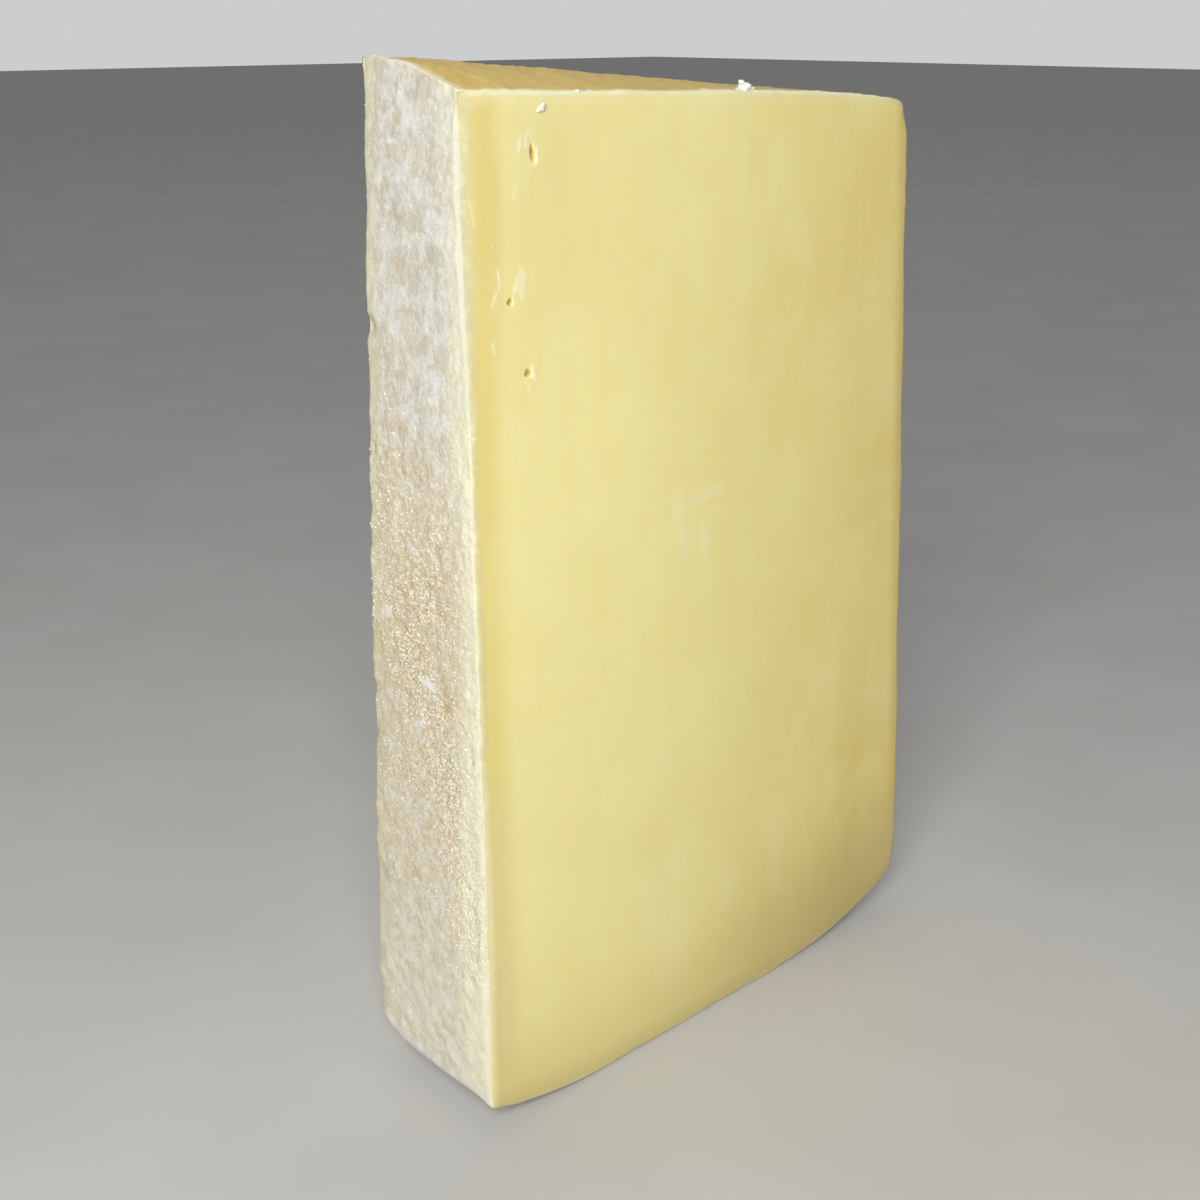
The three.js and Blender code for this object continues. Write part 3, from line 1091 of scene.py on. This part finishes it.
white_grain = srgb(228, 224, 206)
golden_grain = srgb(208, 196, 164)
white_speck = srgb(234, 234, 230)
cream_speck = srgb(222, 216, 196)
rind_grains = scattered("rind_grains", on_crust, {
    "Grains per square metre": 4.4e6, "Smallest": 0.08 * MM, "Largest": 0.20 * MM, "Seed": 3,
    "Finish": finish_grains("rind_grain", white_grain, golden_grain, golden_share=0.4),
})
bloom_specks = scattered("bloom_specks", in_bloom, {
    "Grains per square metre": 0.5e6, "Smallest": 0.05 * MM, "Largest": 0.11 * MM, "Seed": 5,
    "Finish": finish_grains("bloom_speck", white_speck, cream_speck, golden_share=0.3),
})
for grains in (rind_grains, bloom_specks):
    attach(grains, "root")

# ---- Crumbs on the cut ----
# Three crumbs of cheese that the wire tore off and that cling to the large face and to its upper edge.
# Each is a few lumps of curd pressed together.

# Name: place across and up, how far in from the face, and each lump's offset and radius.
crumbs = {
    "crumb_on_cut": (-33.5, 147.6, 0.0, ((0, 0, 0, 0.52), (-0.6, 0, -0.3, 0.34), (0.2, 0, 0.4, 0.36))),
    "crumb_on_edge": (-27.1, 149.4, 0.3, ((0, 0, 0, 0.42), (0.5, 0.1, 0, 0.3), (-0.45, 0.1, 0, 0.26))),
    "crumb_on_top": (5.9, 148.6, 0.8, ((0, 0, 0.2, 1.1), (1.3, 0.2, -0.1, 0.9), (-1.3, 0.1, -0.2, 0.75),
                                       (0.3, 0.7, 0.9, 0.6), (2.2, 0.3, -0.4, 0.5))),
}


# How torn each lump is, as shares of its radius, how long the torn bits are, and the lump's own shape.
coarse_tear, coarse_tear_length = 0.34, 0.7
fine_tear, fine_tear_length = 0.20, 0.35
lump_shape = (1.0, 0.8, 0.85)


def finish_crumbs():
    white_curd = srgb(252, 249, 238)
    cream_curd = srgb(246, 240, 214)
    paint = Paint("torn_curd")
    here = paint.place()
    creamy = paint.noise(here, scale=0.9, detail=3.0).over(0.35, 0.65)
    colour = paint.mixed(creamy, white_curd, cream_curd)
    torn = paint.noise(here, scale=2.5, detail=4.0, roughness=0.7)
    normal = paint.bumped(torn, strength=0.8, distance=0.15)
    roughness = paint.noise(here, scale=1.0) * 0.2 + 0.5
    return paint.finish(colour, roughness, normal, Subsurface_Weight=0.4, Subsurface_Scale=0.001,
                        Subsurface_Radius=(1.0, 0.85, 0.6), Specular_IOR_Level=0.3)


crumb_finish = finish_crumbs()
for name, (at_x, at_z, inward, lumps_of_curd) in crumbs.items():
    crumb = bmesh.new()
    heart = np.array((at_x, front_cut(at_z) + inward, at_z))
    for dx, dy, dz, radius in lumps_of_curd:
        lump = bmesh.ops.create_icosphere(crumb, subdivisions=3, radius=1)["verts"]
        ball = np.array([corner.co[:] for corner in lump])
        torn = 1 + coarse_tear * wander(ball + heart + dx, coarse_tear_length, stream=61)
        torn = torn + fine_tear * wander(ball + heart + dx, fine_tear_length, stream=62)
        placed = heart + (dx, dy, dz) + ball * radius * torn[:, None] * lump_shape
        for corner, place in zip(lump, placed * MM):
            corner.co = place
    mesh = bpy.data.meshes.new(name)
    crumb.to_mesh(mesh)
    crumb.free()
    mesh.shade_smooth()
    mesh.materials.append(crumb_finish)
    piece = new_object(name, mesh)
    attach(piece, "root")

# ---- Floor, light and camera ----
# A pale floor, a soft window light close to the near left corner, a weak wide one overhead, and a camera
# 20 cm from the block's near edge, a little above its top and looking down at it.

floor_reach = 5
floor_grey = srgb(192, 190, 186)
floor_light_grey = srgb(198, 196, 193)
floor_mesh = bpy.data.meshes.new("floor")
floor_corners = [(floor_reach * a, floor_reach * b, 0) for a, b in ((-1, -1), (1, -1), (1, 1), (-1, 1))]
floor_mesh.from_pydata(floor_corners, [], [(0, 1, 2, 3)])
floor = new_object("floor", floor_mesh)
floor_paint = Paint("floor_card")
floor_place = floor_paint.place()
floor_tint = floor_paint.noise(floor_place, scale=0.02).over(0.2, 0.8)
floor_colour = floor_paint.mixed(floor_tint, floor_grey, floor_light_grey)
floor_bump = floor_paint.bumped(floor_paint.noise(floor_place, scale=0.5), strength=0.1, distance=0.2)
floor_mesh.materials.append(floor_paint.finish(floor_colour, roughness=0.8, normal=floor_bump))


def soft_light(name, place, target, width, watts, colour):
    data = bpy.data.lights.new(name, "AREA")
    data.size = width
    data.energy = watts
    data.color = colour
    light = new_object(name, data)
    reach = np.subtract(target, place)
    light.location = place
    fall = math.atan2(math.hypot(reach[0], reach[1]), -reach[2])
    light.rotation_euler = (fall, 0, math.atan2(reach[1], reach[0]) - math.pi / 2)
    light.visible_camera = False


soft_light("window", place=(-0.33, -0.26, 0.29), target=(-0.02, 0, 0.07), width=0.26,
           watts=2.5, colour=(0.985, 0.995, 1.0))
soft_light("ceiling", place=(0.1, 0.2, 1.5), target=(0, 0, 0), width=2.4,
           watts=3.0, colour=(1.0, 0.97, 0.93))

# The room is dim on the camera's side and pale behind the block.
room_colour = (0.84, 0.85, 0.87, 1)
pale_side = (0.68, 0.73, 0)
turning_from, turning_to = -0.3, 0.9
dim_strength, pale_strength = 0.06, 0.72
world = bpy.data.worlds.new("room")
bpy.context.scene.world = world
world.use_nodes = True
room = world.node_tree.nodes["Background"]
room.inputs["Color"].default_value = room_colour
direction = world.node_tree.nodes.new("ShaderNodeTexCoord")
facing_room = world.node_tree.nodes.new("ShaderNodeVectorMath")
facing_room.operation = "DOT_PRODUCT"
facing_room.inputs[1].default_value = pale_side
room_light = world.node_tree.nodes.new("ShaderNodeMapRange")
room_light.interpolation_type = "SMOOTHSTEP"
for socket, value in zip(room_light.inputs[1:5], (turning_from, turning_to, dim_strength, pale_strength)):
    socket.default_value = value
world.node_tree.links.new(direction.outputs["Generated"], facing_room.inputs[0])
world.node_tree.links.new(facing_room.outputs["Value"], room_light.inputs[0])
world.node_tree.links.new(room_light.outputs[0], room.inputs["Strength"])
bpy.context.scene.view_settings.view_transform = "Standard"

camera_place = (-0.1747, -0.1711, 0.1585)
camera_azimuth = math.radians(-43.2)
camera_pitch = math.radians(20)
focal_pixels = 1600
picture_pixels = 1200
camera_data = bpy.data.cameras.new("camera")
camera_data.sensor_width = 36
camera_data.lens = camera_data.sensor_width * focal_pixels / picture_pixels
camera_data.clip_start = 0.01
camera = new_object("camera", camera_data)
camera.location = camera_place
camera.rotation_euler = (math.pi / 2 - camera_pitch, 0, camera_azimuth)
bpy.context.scene.camera = camera
